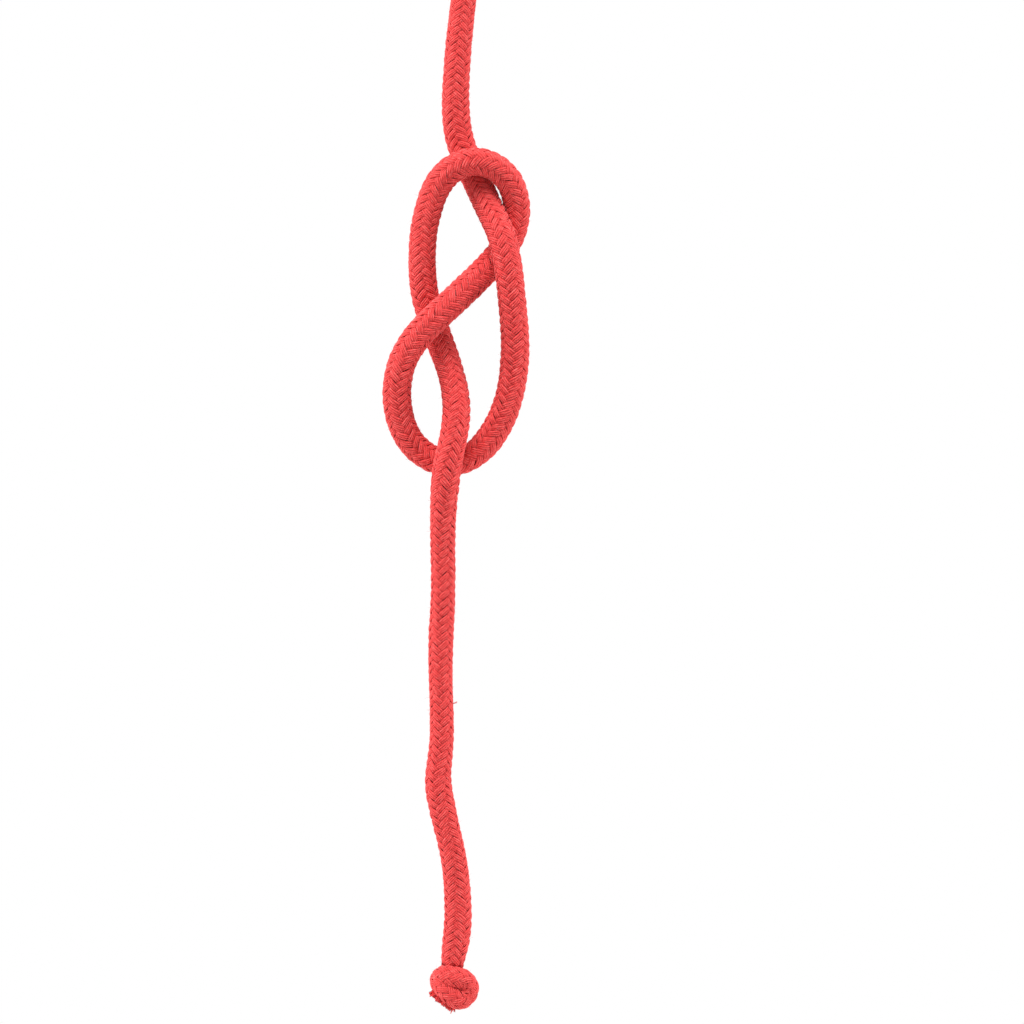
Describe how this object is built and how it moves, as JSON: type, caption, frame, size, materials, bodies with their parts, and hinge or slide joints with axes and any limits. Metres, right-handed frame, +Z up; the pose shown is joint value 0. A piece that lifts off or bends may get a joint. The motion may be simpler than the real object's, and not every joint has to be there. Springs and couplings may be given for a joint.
{
  "type": "lead rope",
  "caption": "Braided cotton lead rope hanging from a swivel bolt snap, with a loose figure-eight knot and a tight stopper knot at its free end.",
  "frame": {"origin": "inside top of the snap's hook, where the hook bears on the ring or peg that holds it", "axes": "+Z up along the swivel's axis, the rope hanging down -Z; the hook and the flat of the knot lie in XZ, the front faces -Y"},
  "size_m": [0.1102, 0.0468, 0.9683],
  "materials": {
    "red_cotton": "matt braided cotton",
    "core_cotton": "matt filler yarns, dyed with the cover",
    "cast_brass": "tumbled casting, satin",
    "bolt_steel": "drawn steel",
    "spring_steel": "spring wire",
    "clamp_metal": "brass-plated strip, crimped"
  },
  "bodies": {
    "snap": {"snap_body": "cast_brass", "barrel_plug": "cast_brass", "bolt_spring": "spring_steel"},
    "bolt": {"snap_bolt": "bolt_steel", "thumb_knob": "cast_brass"},
    "swivel": {"swivel_eye": "cast_brass", "swivel_washer": "bolt_steel"},
    "rope": {"rope_clamp": "clamp_metal", "rope_cover": "red_cotton", "rope_core": "core_cotton", "stopper_knot": "red_cotton"}
  },
  "joints": [
    {"name": "bolt_slide", "type": "slide", "parent": "snap", "child": "bolt", "axis": [0, 0, -1], "range_m": [0, 0.011], "stiffness_N_per_m": 300, "springref_m": -0.01, "deforming": ["bolt_spring"]},
    {"name": "swivel_turn", "type": "hinge", "parent": "snap", "child": "swivel", "pos_m": [0, 0, -0.063], "axis": [0, 0, 1], "continuous": true},
    {"name": "rope_swing", "type": "hinge", "parent": "swivel", "child": "rope", "pos_m": [0, 0, -0.104], "axis": [1, 0, 0], "range_deg": [-60, 60]}
  ]
}
